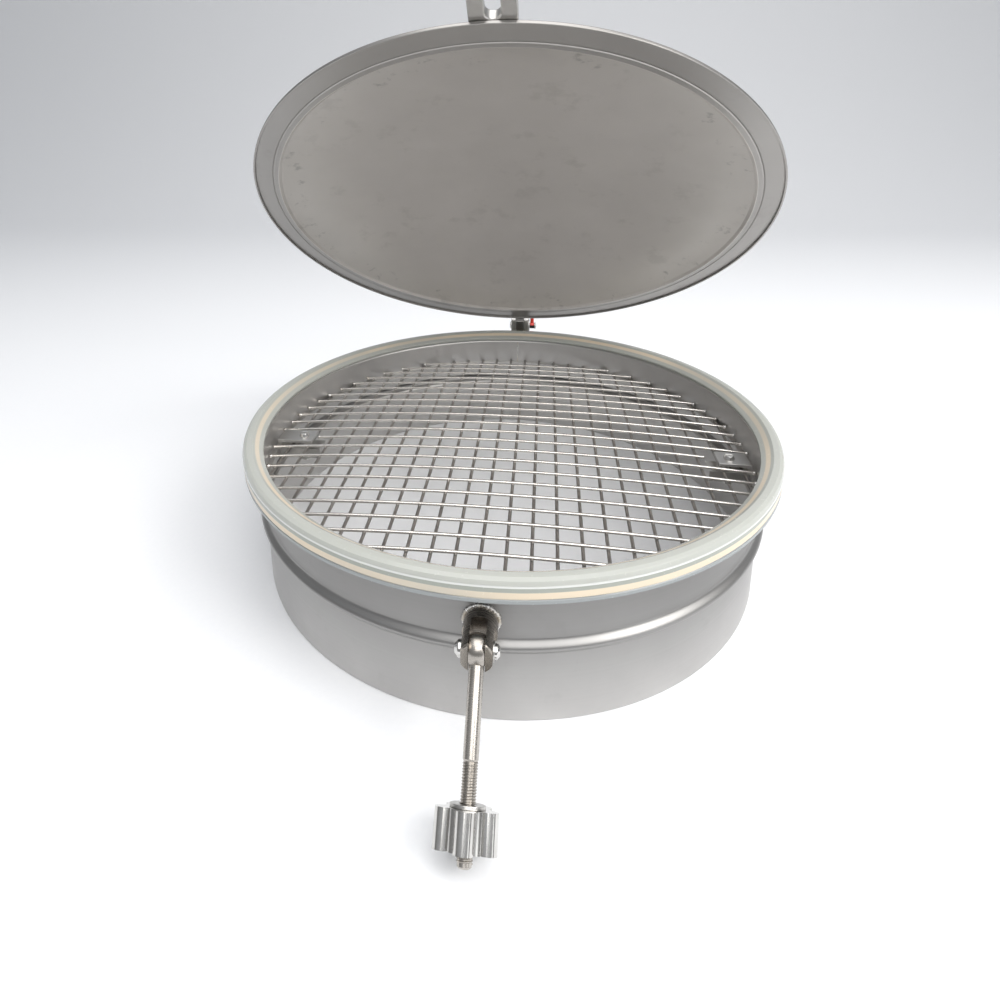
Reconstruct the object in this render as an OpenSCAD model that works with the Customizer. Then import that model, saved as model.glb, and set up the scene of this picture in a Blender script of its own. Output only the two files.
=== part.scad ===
// Round hinged inspection hatch: weld-in neck, rim gasket, wire safety grid, dished lid,
// swing bolt closure and a rear hinge with a clamp lever.
// Millimetres. +Z up, origin on the neck axis at its bottom edge, swing bolt at -Y, hinge at +Y.
// The lid and the swing bolt are drawn in the positions where they rest when the hatch is open.

/* [Neck] */
// Outside diameter of the neck
neck_d = 500; // [300:10:800]
// Sheet thickness of neck and lid
sheet_t = 2; // [1.5:0.5:4]
// Height of the flat top flange above the bottom edge
neck_h = 124; // [80:1:200]
// Middle height of the rolled bead
bead_z = 67; // [40:1:90]
// Height of the rolled bead
bead_h = 15; // [8:1:20]
// How far the bead stands out
bead_out = 5; // [2:0.5:8]
// Width of the outward flange that carries the gasket
flange_w = 12; // [8:1:20]

/* [Gasket] */
// Outside diameter of the gasket
gasket_d = 532; // [520:1:560]
// Inside diameter of its inner lip
gasket_lip_d = 494; // [480:1:496]
// Top height of the gasket
gasket_top = 134.5; // [130:0.5:145]
// Bottom height of the outer lip
gasket_bottom = 115; // [105:0.5:120]

/* [Grid] */
// Distance between neighbouring wires
wire_pitch = 20; // [10:1:40]
// Pitch of the crosswise wires
cross_pitch = 19.4; // [10:0.2:40]
// Wire diameter
wire_d = 3; // [2:0.5:5]
// Rise of the grid at its centre
grid_crown = 11.5; // [2:0.5:30]
// Sideways offset of the mesh from the neck axis
mesh_off_x = -6; // [-10:1:10]
// Lengthwise offset of the mesh from the neck axis
mesh_off_y = -2; // [-10:1:10]
// Top of the ring that the grid rests on
seat_z = 92.6; // [80:0.1:110]
// Radial width of the seat ring
seat_w = 5; // [3:0.5:12]

/* [Swing bolt] */
// Height of the fork axis
fork_z = 87.5; // [60:0.5:110]
// Distance of the bolt's pivot from the neck axis
pivot_r = 276.8; // [276:0.1:320]
// Diameter of the fork bar
fork_d = 25; // [20:1:40]
// Rod diameter
rod_d = 10; // [8:1:16]
// Length from the pivot to the rod's tip
rod_len = 112; // [90:1:180]
// Angle below horizontal where the bolt rests
bolt_drop = 43; // [0:1:90]

/* [Lid] */
// Outside diameter of the lid
lid_d = 542; // [536:1:600]
// Width of the flat sealing flange
lid_flange_w = 25; // [15:1:60]
// Height of the dome above the sealing flange
dome_h = 38; // [10:1:90]
// Opening angle where the lid stands
lid_open = 40; // [0:1:100]
// Distance of the hinge pin from the neck axis
hinge_r = 295; // [285:1:330]
// Height of the hinge pin
hinge_z = 132; // [120:1:150]
// Sideways offset of the hinge from the neck axis
hinge_x = 4.5; // [-20:0.5:20]
// Hinge pin diameter
hinge_pin_d = 10; // [6:1:16]

/* [Hidden] */
$fn = 96;
arc_fn = 720;                       // facets of the largest circles
fit = 0.05;                         // radial running clearance
touch = 0.02;                       // gap between parts that lie against each other
neck_r = neck_d / 2;
bore_r = neck_r - sheet_t;
flange_r = neck_r + flange_w;
gasket_r = gasket_d / 2;
lip_r = gasket_lip_d / 2;
lip_z = neck_h + 3.5;               // height of the inner lip's edge
lip_t = 1.5;
bead_steps = 14;

// grid
seat_h = 10;
wire_r = wire_d / 2;
wire_end_r = bore_r - 1.5;
grid_rad = neck_r * neck_r / (2 * grid_crown);
long_wire_z = seat_z + wire_r + touch + crown_drop(wire_end_r);
cross_wire_z = long_wire_z + wire_d + touch;
wire_count = floor(neck_r / min(wire_pitch, cross_pitch));
clip_y = mesh_off_y - cross_pitch;    // the wire that is cut short for the clips
clip_x = [mesh_off_x - 10.5 * wire_pitch, mesh_off_x + 11.5 * wire_pitch];
cut_wire_x = 200;
clip_in = 12;                       // plate's reach from its screw towards the neck axis
clip_end_x = 242;                   // plate's outer end
clip_w = 24;
clip_t = 3;
lug_in = 20;
lug_w = 20;
lug_top = seat_z - 1;
lug_h = 11;
screw_d = 6;
screw_head_d = 11;
screw_head_h = 3.5;
slot_cut = 1.6;
nut_af = 10;
nut_h = 5;
screw_end = lug_top - lug_h - nut_h - 2;

// swing bolt
ear_gap = 11.4;
eye_t = 10.8;
eye_r = 10.5;
pin_r = 5;
fork_end = pivot_r + 8;
slot_depth = 24;
fork_chamfer = 1.2;
flat_x = 10.6;                      // flats milled on the sides of the fork
flat_len = 22;
collar_d = 28;
collar_t = 2;
pin_head_r = 5.8;
pin_head_t = 5;
ring_r = 6.6;
ring_t = 1.2;
knob_from = 84;
knob_h = 20;
knob_r = 20;
lobe_r = 6;
lobes = 5;
knob_core_r = 14;
washer_r = 11;
washer_t = 2;

// hinge
ear_t = 6.8;
ear_r = 15;
boss_r = 11;
arm_t = 10.8;
foot_w = 44;
foot_t = 4;
foot_z = 80;
foot_h = 30;
foot_edge = 2;                      // foot that shows round the bracket
root_y = neck_r + foot_t;           // where the bracket meets the foot
root_z = foot_z + foot_edge;
root_top = foot_z + foot_h - foot_edge;
rib_foot_y = neck_r + 22;
rib_y = hinge_r - 6;                // lower end of the bracket's slanting back
rib_z = 94;
stud_r = 3;
hub_r = 4.2;
hub_from = ear_gap / 2 + ear_t + 1.6;
hub_l = 7;
grip_r = 2.7;
stem_r = 1.6;
grip_tip = 21.5;
cap_r = 5;                          // red cap that straddles the hub
cap_from = 1.6;
hinge_head_r = 5.6;
hinge_head_t = 2.5;

// lid, drawn closed and then opened about the hinge pin
lid_r = lid_d / 2;
seal_z = gasket_top + 0.3;
lid_top_z = seal_z + sheet_t;
lip_drop = 2;
dome_r0 = lid_r - lid_flange_w;
knuckle_h = 2.5;                    // small step at the inner edge of the flange
knuckle_w = 2.5;
band_h = 4;                         // steeper band between the step and the dish
band_w = 10;
dish_r = dome_r0 - knuckle_w - band_w;
dish_z = knuckle_h + band_h;
dome_steps = 12;
lug_t = 10;
lug_front = pivot_r + 16;
lug_wide = 36;
slot_w = 12;

function crown_drop(r) = r * r / (2 * grid_rad);
// Underside of the plate whose screw is at x: it rests on the nearest lengthwise wire.
function clip_z(x) = long_wire_z + wire_r + touch
    - crown_drop(norm([abs(x) - wire_pitch / 2, abs(clip_y) - clip_w / 2]));
function bead(z) = abs(z - bead_z) < bead_h / 2
    ? bead_out * (1 + cos(360 * (z - bead_z) / bead_h)) / 2 : 0;
function wall_line(r) = [for (i = [0:bead_steps])
    let (z = bead_z - bead_h / 2 + bead_h * i / bead_steps) [r + bead(z), z]];
function backwards(list) = [for (i = [len(list) - 1:-1:0]) list[i]];
// A small step from the flange, a straight band, then a shallow dish to the centre.
function dome_line(z0) = concat(
    [[dome_r0, z0], [dome_r0 - knuckle_w, z0 + knuckle_h]],
    [for (i = [0:dome_steps]) let (t = i / dome_steps)
        [dish_r * (1 - t), z0 + dish_z + (dome_h - dish_z) * (1 - pow(1 - t, 2))]]);
function half_length(v) = sqrt(wire_end_r * wire_end_r - v * v);

module steel_grey() color([0.72, 0.72, 0.71]) children();
module bright_steel() color([0.82, 0.82, 0.83]) children();
module along_x() rotate([0, 90, 0]) children();
module along_y() rotate([-90, 0, 0]) children();
module at_pivot() translate([0, -pivot_r, fork_z]) children();
module at_hinge() translate([hinge_x, hinge_r, hinge_z]) children();
// Turns a child drawn upwards from the pivot to the bolt's resting direction.
module bolt_rest() at_pivot() rotate([90 + bolt_drop, 0, 0]) children();
module lid_rest() translate([0, hinge_r, hinge_z]) rotate([-lid_open, 0, 0])
    translate([0, -hinge_r, -hinge_z]) children();
module tube(r_out, r_in, h) difference() {
    cylinder(r = r_out, h = h);
    translate([0, 0, -1]) cylinder(r = r_in, h = h + 2);
}
module side_plate(points, thick) rotate([90, 0, 90]) linear_extrude(thick, center = true) polygon(points);
module wire(v, z, half) {
    a = asin(half / grid_rad);
    translate([0, v, z - crown_drop(v) - grid_rad]) rotate([90, 0, 0]) rotate([0, 0, 90 - a])
        rotate_extrude(angle = 2 * a, $fn = arc_fn) translate([grid_rad, 0]) circle(r = wire_r, $fn = 24);
}
// What is taken out of parts that are welded to the neck's outside.
module neck_core() {
    cylinder(r = neck_r, h = neck_h, $fn = arc_fn);
    cylinder(r = neck_r + bead_out, h = bead_z + bead_h / 2 + touch, $fn = arc_fn);
}

// ---- neck ----
module neck_shell() steel_grey() rotate_extrude() polygon(concat(
    [[bore_r, 0], [neck_r, 0]], wall_line(neck_r),
    [[neck_r, neck_h - sheet_t], [flange_r, neck_h - sheet_t], [flange_r, neck_h], [bore_r, neck_h]],
    backwards(wall_line(bore_r))));

module rim_gasket() color([0.84, 0.85, 0.78]) rotate_extrude() polygon([
    [lip_r, lip_z - lip_t], [bore_r, neck_h], [flange_r, neck_h], [flange_r, neck_h - sheet_t],
    [neck_r + 4, neck_h - sheet_t], [neck_r + 4, gasket_bottom + 1.5], [neck_r + 6, gasket_bottom],
    [gasket_r - 1, gasket_bottom], [gasket_r, gasket_bottom + 1], [gasket_r, gasket_top - 4],
    [gasket_r - 1.2, gasket_top - 1.5], [gasket_r - 4, gasket_top], [gasket_r - 9, gasket_top],
    [lip_r + 3, lip_z + 2], [lip_r, lip_z]]);

module seat_ring() steel_grey() translate([0, 0, seat_z - seat_h]) tube(bore_r, bore_r - seat_w, seat_h);

// ---- grid ----
module cross_wires() bright_steel() for (i = [-wire_count:wire_count]) {
    v = mesh_off_y + i * cross_pitch;
    if (abs(v) < wire_end_r - cross_pitch) wire(v, cross_wire_z, i == -1 ? cut_wire_x : half_length(v));
}
module long_wires() steel_grey() for (i = [-wire_count:wire_count]) {
    u = mesh_off_x + i * wire_pitch;
    if (abs(u) < wire_end_r - 4) rotate([0, 0, 90]) wire(-u, long_wire_z, half_length(u));
}
module clip_lugs() steel_grey() for (x = clip_x) difference() {
    intersection() {
        translate([0, 0, lug_top - lug_h]) cylinder(r = bore_r - seat_w, h = lug_h);
        mirror([x > 0 ? 0 : 1, 0, 0]) translate([abs(x) - lug_in, clip_y - lug_w / 2, lug_top - lug_h])
            cube([clip_end_x, lug_w, lug_h]);
    }
    translate([x, clip_y, lug_top - lug_h - 1]) cylinder(d = screw_d + 0.2, h = lug_h + 2);
}
module clip_plates() steel_grey() for (x = clip_x) difference() {
    mirror([x > 0 ? 0 : 1, 0, 0]) translate([abs(x) - clip_in, clip_y - clip_w / 2, clip_z(x)])
        cube([clip_end_x - abs(x) + clip_in, clip_w, clip_t]);
    translate([x, clip_y, clip_z(x) - 1]) cylinder(d = screw_d + 0.4, h = clip_t + 2);
}
module clip_screws() bright_steel() for (x = clip_x) translate([x, clip_y, 0]) {
    translate([0, 0, screw_end]) cylinder(d = screw_d, h = clip_z(x) + clip_t - screw_end);
    translate([0, 0, clip_z(x) + clip_t]) difference() {
        cylinder(d1 = screw_head_d, d2 = screw_head_d - 3, h = screw_head_h);
        translate([-screw_head_d, -slot_cut / 2, screw_head_h - slot_cut])
            cube([2 * screw_head_d, slot_cut, screw_head_h]);
    }
}
module clip_nuts() steel_grey() for (x = clip_x)
    translate([x, clip_y, lug_top - lug_h - nut_h]) difference() {
        cylinder(d = nut_af / cos(30), h = nut_h, $fn = 6);
        translate([0, 0, -1]) cylinder(d = screw_d + 0.1, h = nut_h + 2);
    }

// ---- swing bolt closure ----
module fork_collar() steel_grey() difference() {
    translate([0, -neck_r - collar_t, fork_z]) along_y() tube(collar_d / 2, fork_d / 2, collar_t + 4);
    neck_core();
}
module bolt_fork() steel_grey() difference() {
    translate([0, -fork_end, fork_z]) along_y() union() {
        cylinder(d1 = fork_d - 2 * fork_chamfer, d2 = fork_d, h = fork_chamfer);
        translate([0, 0, fork_chamfer]) cylinder(d = fork_d, h = fork_end - neck_r - fork_chamfer + 4);
    }
    neck_core();
    translate([-ear_gap / 2, -fork_end - 1, fork_z - fork_d]) cube([ear_gap, slot_depth + 1, 2 * fork_d]);
    at_pivot() translate([-fork_d, 0, 0]) along_x() cylinder(r = pin_r + 0.02, h = 2 * fork_d);
    for (s = [-1, 1]) translate([s * (flat_x + fork_d / 2), (flat_len - 1) / 2 - fork_end, fork_z])
        cube([fork_d, flat_len + 1, 2 * fork_d], center = true);
}
module fork_pin() bright_steel() at_pivot() along_x() union() {
    translate([0, 0, -flat_x]) cylinder(r = pin_r, h = 2 * flat_x + ring_t + 1.8);
    translate([0, 0, -flat_x - pin_head_t / 2]) cylinder(r = pin_head_r, h = pin_head_t / 2);
    translate([0, 0, -flat_x - pin_head_t])
        cylinder(r1 = pin_head_r - 2.4, r2 = pin_head_r, h = pin_head_t / 2);
    translate([0, 0, flat_x + ring_t + 1.8]) cylinder(r1 = pin_r, r2 = pin_r - 2, h = 2);
}
module fork_pin_ring() steel_grey() at_pivot() translate([flat_x, 0, 0]) along_x()
    tube(ring_r, pin_r, ring_t);
module eye_bolt() bright_steel() bolt_rest() difference() {
    union() {
        intersection() {
            sphere(r = eye_r);
            cube([eye_t, 4 * eye_r, 4 * eye_r], center = true);
        }
        translate([0, 0, eye_r - 3]) cylinder(d = rod_d, h = rod_len - eye_r + 2);
        translate([0, 0, rod_len - 1]) cylinder(d1 = rod_d, d2 = rod_d - 2, h = 1);
    }
    along_x() cylinder(r = pin_r + fit, h = 2 * eye_t, center = true);
}
module knob_washer() steel_grey() bolt_rest() translate([0, 0, knob_from - washer_t])
    tube(washer_r, rod_d / 2 + 0.3, washer_t);
module star_knob() bright_steel() bolt_rest() translate([0, 0, knob_from]) difference() {
    union() {
        cylinder(r = knob_core_r, h = knob_h);
        for (i = [0:lobes - 1]) rotate([0, 0, 90 + i * 360 / lobes])
            translate([knob_core_r, 0, 0]) cylinder(r = lobe_r, h = knob_h);
    }
    translate([0, 0, -1]) cylinder(r = rod_d / 2 + fit, h = knob_h + 2);
}

// ---- hinge ----
module hinge_foot() steel_grey() difference() {
    translate([hinge_x - foot_w / 2, neck_r - 3, foot_z]) cube([foot_w, foot_t + 3, foot_h]);
    neck_core();
}
module hinge_bracket() steel_grey() difference() {
    union() {
        for (s = [-1, 1]) translate([hinge_x + s * (ear_gap + ear_t) / 2, 0, 0])
            side_plate([[root_y, root_z], [root_y, root_top], [neck_r + 18, root_top],
                [hinge_r - ear_r, hinge_z - 6], [hinge_r - ear_r, hinge_z + 12],
                [hinge_r - ear_r + 4, hinge_z + ear_r + 1], [hinge_r + 6, hinge_z + ear_r + 1],
                [hinge_r + ear_r, hinge_z + 7], [hinge_r + ear_r, hinge_z - 5],
                [rib_y, rib_z], [rib_foot_y, root_z]], ear_t);
        translate([hinge_x, 0, 0]) side_plate([[root_y, root_z], [root_y, root_top - 2], [neck_r + 20, root_top - 2],
            [rib_y, rib_z + 20], [rib_y + 9, rib_z + 18], [rib_y, rib_z], [rib_foot_y, root_z]], ear_gap);
    }
    at_hinge() along_x() cylinder(r = pin_r + 0.02, h = foot_w, center = true);
}
module hinge_pin() bright_steel() at_hinge() along_x() union() {
    x0 = ear_gap / 2 + ear_t;
    translate([0, 0, -x0]) cylinder(d = hinge_pin_d, h = hub_from + x0);
    translate([0, 0, -x0 - hinge_head_t]) cylinder(r1 = hinge_head_r - 1, r2 = hinge_head_r, h = hinge_head_t);
    translate([0, 0, hub_from]) cylinder(r = stud_r, h = hub_l + 2.4);
}
module hinge_washer() steel_grey() at_hinge() translate([ear_gap / 2 + ear_t, 0, 0]) along_x()
    tube(9, pin_r, 1.5);
module lever_hub() color([0.2, 0.2, 0.19]) at_hinge() difference() {
    union() {
        translate([hub_from, 0, 0]) along_x() cylinder(r = hub_r, h = hub_l);
        translate([hub_from + hub_l / 2, 0, 0]) cylinder(r = stem_r, h = grip_tip - 1.5);
    }
    along_x() cylinder(r = stud_r + fit, h = foot_w);
}
module lever_grip() color([0.85, 0.1, 0.06]) at_hinge()
    translate([hub_from + hub_l / 2, 0, 0]) difference() {
        union() {
            translate([0, 0, hub_r]) cylinder(r = grip_r, h = grip_tip - hub_r - 1);
            translate([0, 0, grip_tip - 1]) cylinder(r1 = grip_r, r2 = grip_r - 1, h = 1);
            intersection() {
                along_x() cylinder(r = cap_r, h = 2 * grip_r, center = true);
                translate([-cap_r, -cap_r, cap_from]) cube(2 * cap_r);
            }
        }
        along_x() cylinder(r = hub_r, h = 4 * grip_r, center = true);
        cylinder(r = stem_r, h = grip_tip - 1.5);
    }
module lever_ring() bright_steel() at_hinge() translate([hub_from + hub_l + 0.2, 0, 0]) along_x()
    tube(stud_r + 2, stud_r, 1.4);

// ---- lid ----
module lid_shell() steel_grey() lid_rest() rotate_extrude() polygon(concat(
    [[lid_r - sheet_t, seal_z], [lid_r - sheet_t, seal_z - lip_drop], [lid_r, seal_z - lip_drop],
     [lid_r, lid_top_z]], dome_line(lid_top_z), backwards(dome_line(seal_z))));
module lid_arm() steel_grey() lid_rest() difference() {
    union() {
        translate([hinge_x, 0, 0]) side_plate([[dome_r0 + 1, lid_top_z], [lid_r + 0.3, lid_top_z], [lid_r + 0.3, hinge_z - 4],
            [hinge_r - 5, hinge_z - 9.6], [hinge_r + 4, hinge_z + 10.1], [lid_r - 4, lid_top_z + 13],
            [dome_r0 + 1, lid_top_z + 10]], arm_t);
        at_hinge() along_x() cylinder(r = boss_r, h = arm_t, center = true);
    }
    at_hinge() along_x() cylinder(r = pin_r + fit, h = 2 * arm_t, center = true);
}
module lid_lug() steel_grey() lid_rest() difference() {
    translate([-lug_wide / 2, -lug_front, lid_top_z]) cube([lug_wide, lug_front - dome_r0 - 1, lug_t]);
    translate([0, -pivot_r, lid_top_z - 1]) cylinder(d = slot_w, h = lug_t + 2);
    translate([-slot_w / 2, -lug_front - 1, lid_top_z - 1]) cube([slot_w, lug_front - pivot_r + 1, lug_t + 2]);
}

neck_shell();
rim_gasket();
seat_ring();
cross_wires();
long_wires();
clip_lugs();
clip_plates();
clip_screws();
clip_nuts();
fork_collar();
bolt_fork();
fork_pin();
fork_pin_ring();
eye_bolt();
knob_washer();
star_knob();
hinge_foot();
hinge_bracket();
hinge_pin();
hinge_washer();
lever_hub();
lever_grip();
lever_ring();
lid_shell();
lid_arm();
lid_lug();
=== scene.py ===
"""Looks of a round hinged access hatch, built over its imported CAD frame.

Every piece is modelled in metres in the frame's own axes: +Z up the neck, -Y towards the swing bolt,
+Y towards the hinge. Sizes come from the boxes of the frame's nodes wherever those give them.
"""

import logging
import math
from dataclasses import dataclass
from enum import Enum

import bmesh
import bpy
from mathutils import Matrix, Vector


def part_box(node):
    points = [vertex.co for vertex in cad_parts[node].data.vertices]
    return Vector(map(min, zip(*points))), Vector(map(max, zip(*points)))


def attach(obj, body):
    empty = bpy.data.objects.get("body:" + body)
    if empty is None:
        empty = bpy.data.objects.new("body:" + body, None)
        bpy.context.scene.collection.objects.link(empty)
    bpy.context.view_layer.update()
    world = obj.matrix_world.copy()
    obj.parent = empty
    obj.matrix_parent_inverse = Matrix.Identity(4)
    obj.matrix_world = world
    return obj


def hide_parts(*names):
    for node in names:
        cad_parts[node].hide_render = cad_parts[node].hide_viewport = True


log = logging.getLogger("hatch")
MM = 0.001
MERGE = 2e-7
FRAME_MERGE = 1e-6
SAME = 1e-6
PLAY = 0.00005
Point = tuple[float, float, float]
Colour = tuple[float, float, float]


# ---------------------------------------------------------------- shader maths
class Val:
    """A shader socket that takes part in Python arithmetic."""

    def __init__(self, surface: "Surface", socket: bpy.types.NodeSocket) -> None:
        """Holds the socket and the surface whose tree it belongs to."""
        self.surface = surface
        self.socket = socket

    def _with(self, operation: str, *others: "Val | float") -> "Val":
        """Adds a Math node that has this value first."""
        return self.surface.math(operation, self, *others)

    def __add__(self, other: "Val | float") -> "Val":
        """Returns self + other."""
        return self._with("ADD", other)

    __radd__ = __add__

    def __sub__(self, other: "Val | float") -> "Val":
        """Returns self - other."""
        return self._with("SUBTRACT", other)

    def __rsub__(self, other: float) -> "Val":
        """Returns other - self."""
        return self.surface.math("SUBTRACT", other, self)

    def __mul__(self, other: "Val | float") -> "Val":
        """Returns self * other."""
        return self._with("MULTIPLY", other)

    __rmul__ = __mul__

    def __pow__(self, power: float) -> "Val":
        """Returns self raised to a power."""
        return self._with("POWER", power)

    def rise(self, low: float, high: float) -> "Val":
        """A smooth step.

        Args:
            low: The value at which the step starts from 0.
            high: The value at which it reaches 1.

        Returns:
            A value between 0 and 1.
        """
        return self.surface.add(
            "ShaderNodeMapRange", {"interpolation_type": "SMOOTHSTEP"},
            {"Value": self, "From Min": low, "From Max": high})

    def band(self, low: float, high: float, soft: float) -> "Val":
        """1 between low and high, 0 outside, with edges as wide as soft."""
        return self.rise(low - soft, low + soft) * (1 - self.rise(high - soft, high + soft))


class Surface:
    """The node tree of a material or of the room, with the few calls that fill it."""

    def __init__(self, name: str, owner: bpy.types.ID | None = None) -> None:
        """Empties the owner's tree, or starts a material of that name."""
        self.material = owner or bpy.data.materials.new(name)
        self.material.use_nodes = True
        self.tree = self.material.node_tree
        self.tree.nodes.clear()

    def add(self, kind: str, settings: dict | None = None, inputs: dict | None = None,
            output: int | str = 0) -> Val:
        """Adds any node.

        Args:
            kind: The node's type, such as ShaderNodeMath.
            settings: Its properties, and "stops" for a colour ramp, all set before its sockets.
            inputs: Socket names or numbers, with values or Vals.
            output: The socket that is handed back.

        Returns:
            The chosen output.
        """
        node = self.tree.nodes.new(kind)
        for key, value in (settings or {}).items():
            if key == "stops":
                self._fill_ramp(node.color_ramp, value)
            else:
                setattr(node, key, value)
        for key, value in (inputs or {}).items():
            socket = node.inputs[key]
            if isinstance(value, Val):
                self.tree.links.new(value.socket, socket)
            else:
                socket.default_value = value
        return Val(self, node.outputs[output]) if node.outputs else None

    @staticmethod
    def _fill_ramp(ramp: bpy.types.ColorRamp, stops: list[tuple[float, Colour]]) -> None:
        """Gives a ramp its stops."""
        while len(ramp.elements) < len(stops):
            ramp.elements.new(0.5)
        for element, (place, colour) in zip(ramp.elements, stops):
            element.position = place
            element.color = (*colour, 1.0)

    def math(self, operation: str, *values: Val | float) -> Val:
        """Adds a Math node over the values, in their order."""
        return self.add("ShaderNodeMath", {"operation": operation}, dict(enumerate(values)))

    def place(self) -> Val:
        """The point on the surface, in metres in the frame's axes."""
        return self.add("ShaderNodeTexCoord", output="Object")

    def split(self, vector: Val) -> tuple[Val, Val, Val]:
        """The three numbers of a vector."""
        node = self.add("ShaderNodeSeparateXYZ", None, {0: vector}).socket.node
        return tuple(Val(self, socket) for socket in node.outputs)

    def along(self, vector: Val, axis: Point) -> Val:
        """How far a point lies along an axis."""
        return self.add("ShaderNodeVectorMath", {"operation": "DOT_PRODUCT"},
                        {0: vector, 1: axis}, "Value")

    def noise(self, vector: Val, scale: float, detail: float = 2.0, roughness: float = 0.5) -> Val:
        """Noise of about 0.5 on average."""
        return self.add("ShaderNodeTexNoise", None,
                        {"Vector": vector, "Scale": scale, "Detail": detail, "Roughness": roughness})

    def lines(self, t: Val, scale: float) -> Val:
        """Noise that changes along one number only, as tool marks do."""
        return self.add("ShaderNodeTexNoise", {"noise_dimensions": "1D"},
                        {"W": t, "Scale": scale, "Detail": 3.0})

    def blend(self, factor: Val | float, first: Val | Colour, second: Val | Colour) -> Val:
        """Mixes two colours, first at factor 0 and second at factor 1."""
        sockets = {"Factor": factor, "A": first, "B": second}
        node = self.tree.nodes.new("ShaderNodeMix")
        node.data_type = "RGBA"
        wanted = {"Factor": node.inputs[0], "A": node.inputs[6], "B": node.inputs[7]}
        for key, value in sockets.items():
            if isinstance(value, Val):
                self.tree.links.new(value.socket, wanted[key])
            else:
                wanted[key].default_value = (*value, 1.0) if key != "Factor" else value
        return Val(self, node.outputs[2])

    def close(self, colour: Val, roughness: Val | float, height: Val | None, distance: float,
              constants: dict[str, float | tuple]) -> bpy.types.Material:
        """Ends the material.

        Args:
            colour: The base colour.
            roughness: The roughness over the surface.
            height: The relief, or None.
            distance: What a height of 1 stands for, in metres.
            constants: Values set once on the shader's own sockets.

        Returns:
            The finished material.
        """
        inputs: dict[str, object] = {"Base Color": colour, "Roughness": roughness, **constants}
        if height is not None:
            inputs["Normal"] = self.add("ShaderNodeBump", None,
                                        {"Height": height, "Distance": distance, "Strength": 1.0})
        shader = self.add("ShaderNodeBsdfPrincipled", None, inputs)
        self.add("ShaderNodeOutputMaterial", None, {"Surface": shader})
        return self.material


# -------------------------------------------------------------------- finishes
class Marks(Enum):
    """The way that the tool marks run on a steel surface."""

    NONE = "even grain"
    ROUND_NECK = "round the neck axis"
    ACROSS = "rings across the piece's own axis"


@dataclass(frozen=True)
class Steel:
    """Bare stainless steel, from blasted sheet to polished bar."""

    name: str
    base: Colour
    dark: Colour
    roughness: float
    marks: Marks = Marks.NONE
    axis: Point = (0.0, 0.0, 1.0)
    mark_scale: float = 900.0
    mark_depth: float = 0.00001
    cloud_scale: float = 9.0
    cloud: float = 0.5
    grain_scale: float = 1400.0
    grain_depth: float = 0.000012
    smudges: float = 0.3
    hub: Point = (0.0, 0.0, 0.0)
    face: Point = (0.0, 0.0, 1.0)
    # Painted shade: past a radius from hub and between two heights along face, the colour darkens towards
    # a dark tone, which also colours the grime.
    shade_r: float = 0.0
    shade_low: float = -1.0
    shade_high: float = -0.9
    painted_shade: float = 0.0
    shade_and_grime_tone: Colour = (0.12, 0.115, 0.11)
    grime_r: float = 0.0

    def build(self) -> bpy.types.Material:
        """Makes the material: clouds of tone, smudges, painted shade, grime specks, fine grain and tool
        marks.
        """
        s = Surface(self.name)
        p = s.place()
        clouds = s.noise(p, self.cloud_scale, 4.0, 0.55)
        smudge = s.noise(p, self.cloud_scale * 4.3, 5.0, 0.65).rise(0.56, 0.72)
        grain = s.noise(p, self.grain_scale, 2.0, 0.6)
        tone = (0.5 + (clouds - 0.5) * 2.2 * self.cloud - smudge * self.smudges * 0.35).rise(0.0, 1.0)
        colour = s.blend(tone, self.dark, self.base)
        # Painted shade, and real grime specks near a rim.
        if self.painted_shade or self.grime_r:
            colour = self._painted_shade_and_grime(s, p, colour)
        roughness = self.roughness + (0.5 - clouds) * 0.10 * self.cloud + smudge * 0.08 * self.smudges
        height = grain * (self.grain_depth / MM)
        if self.marks is not Marks.NONE:
            strokes = s.lines(self._stroke_place(s, p), self.mark_scale)
            roughness = roughness + (strokes - 0.5) * 0.12
            height = height + strokes * (self.mark_depth / MM)
        return s.close(colour, roughness, height, MM, {"Metallic": 1.0})

    def _painted_shade_and_grime(self, s: Surface, p: Val, colour: Val) -> Val:
        """Paints shade by darkening the sheet beyond a radius, between two heights, and adds grime near
        the rim.

        Args:
            s: The surface being made.
            p: The point on it.
            colour: The colour before the painted shade and the grime.

        Returns:
            The colour with painted shade and grime.
        """
        away = s.add("ShaderNodeVectorMath", {"operation": "SUBTRACT"}, {0: p, 1: self.hub})
        height = s.along(away, self.face)
        radius = (s.along(away, away) - height * height) ** 0.5
        # Painted shade: darker beyond the radius, more so towards the upper height.
        shade_mask = radius.rise(self.shade_r - 0.0003, self.shade_r + 0.0003)
        shade_mask = shade_mask * height.rise(self.shade_low, self.shade_high) * self.painted_shade
        colour = s.blend(shade_mask, colour, self.shade_and_grime_tone)
        if self.grime_r:
            specks = s.noise(p, 60.0, 4.0, 0.6).rise(0.58, 0.72)
            near = radius.band(self.grime_r - 0.022, self.grime_r, 0.004)
            colour = s.blend(specks * near * 0.45, colour, self.shade_and_grime_tone)
        return colour

    def _stroke_place(self, s: Surface, p: Val) -> Val:
        """The number along which the tool marks change."""
        if self.marks is Marks.ACROSS:
            return s.along(p, self.axis)
        x, y, z = s.split(p)
        return z + (x * x + y * y) ** 0.5 * 0.7


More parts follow.
